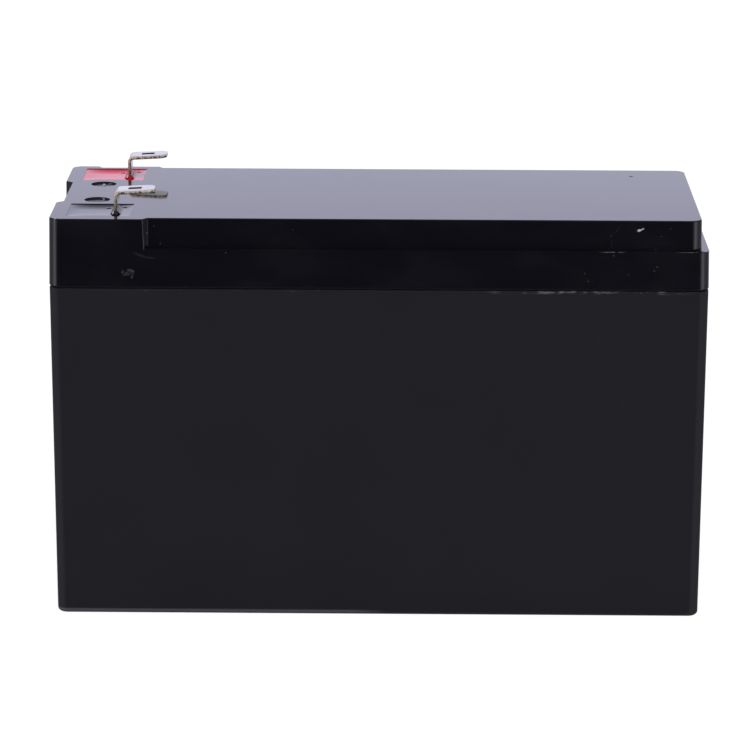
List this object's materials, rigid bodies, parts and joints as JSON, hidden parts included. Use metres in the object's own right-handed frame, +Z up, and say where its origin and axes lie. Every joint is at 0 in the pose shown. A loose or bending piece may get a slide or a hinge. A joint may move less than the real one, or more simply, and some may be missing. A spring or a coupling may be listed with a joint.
{
  "type": "lithium iron phosphate battery",
  "caption": "Sealed block battery: drafted black case, stepped glossy lid, two bent blade terminals in resin wells, and cells, links, board and foam inside.",
  "frame": {"origin": "middle of the case's underside, at the bottom centre of the whole part's box", "axes": "+X along the length, away from the terminals; +Y across, from the negative to the positive terminal; +Z up"},
  "size_m": [0.151, 0.065, 0.0994],
  "materials": {
    "case_plastic": "satin, fine spark texture",
    "lid_plastic": "high gloss",
    "tinned_blade": "bright tin plate, sheared brass edges",
    "red_resin": "glossy cast resin",
    "black_resin": "glossy cast resin",
    "cell_sleeve": "shrink sleeve over a steel can",
    "fibre_sheet": "plain",
    "holder_plastic": "plain",
    "nickel_strip": "rolled",
    "circuit_board": "solder mask",
    "component_black": "plain",
    "connector_plastic": "plain",
    "red_insulation": "plain",
    "black_insulation": "plain",
    "sense_insulation": "plain",
    "sensor_insulation": "plain",
    "foam": "closed-cell foam"
  },
  "bodies": {
    "root": {"back_foam_pad": "foam", "balance_header": "connector_plastic", "balance_plug": "connector_plastic", "balance_resistors": "component_black", "board_foam_pad": "foam", "bottom_foam_pad": "foam", "bottom_insulator_sheet": "fibre_sheet", "bottom_link_strip_1": "nickel_strip", "bottom_link_strip_2": "nickel_strip", "case": "case_plastic", "cell_1": "cell_sleeve", "cell_2": "cell_sleeve", "cell_3": "cell_sleeve", "cell_4": "cell_sleeve", "cell_5": "cell_sleeve", "cell_6": "cell_sleeve", "cell_7": "cell_sleeve", "cell_8": "cell_sleeve", "cell_top_rings": "fibre_sheet", "controller_chip": "component_black", "far_end_foam": "foam", "front_foam_pad": "foam", "lid": "lid_plastic", "lower_cell_holder": "holder_plastic", "near_end_foam": "foam", "negative_end_strip": "nickel_strip", "negative_lead": "black_insulation", "negative_tab": "tinned_blade", "negative_well_resin": "black_resin", "positive_end_strip": "nickel_strip", "positive_lead": "red_insulation", "positive_tab": "tinned_blade", "positive_well_resin": "red_resin", "power_transistors": "component_black", "protection_board": "circuit_board", "sense_wire_1": "sense_insulation", "sense_wire_2": "sense_insulation", "sense_wire_3": "sense_insulation", "sense_wire_4": "sense_insulation", "sense_wire_5": "sense_insulation", "shunt_resistors": "component_black", "temperature_sensor": "sensor_insulation", "top_foam_block": "foam", "top_insulator_sheet": "fibre_sheet", "top_link_strip": "nickel_strip", "upper_cell_holder": "holder_plastic"}
  },
  "joints": []
}
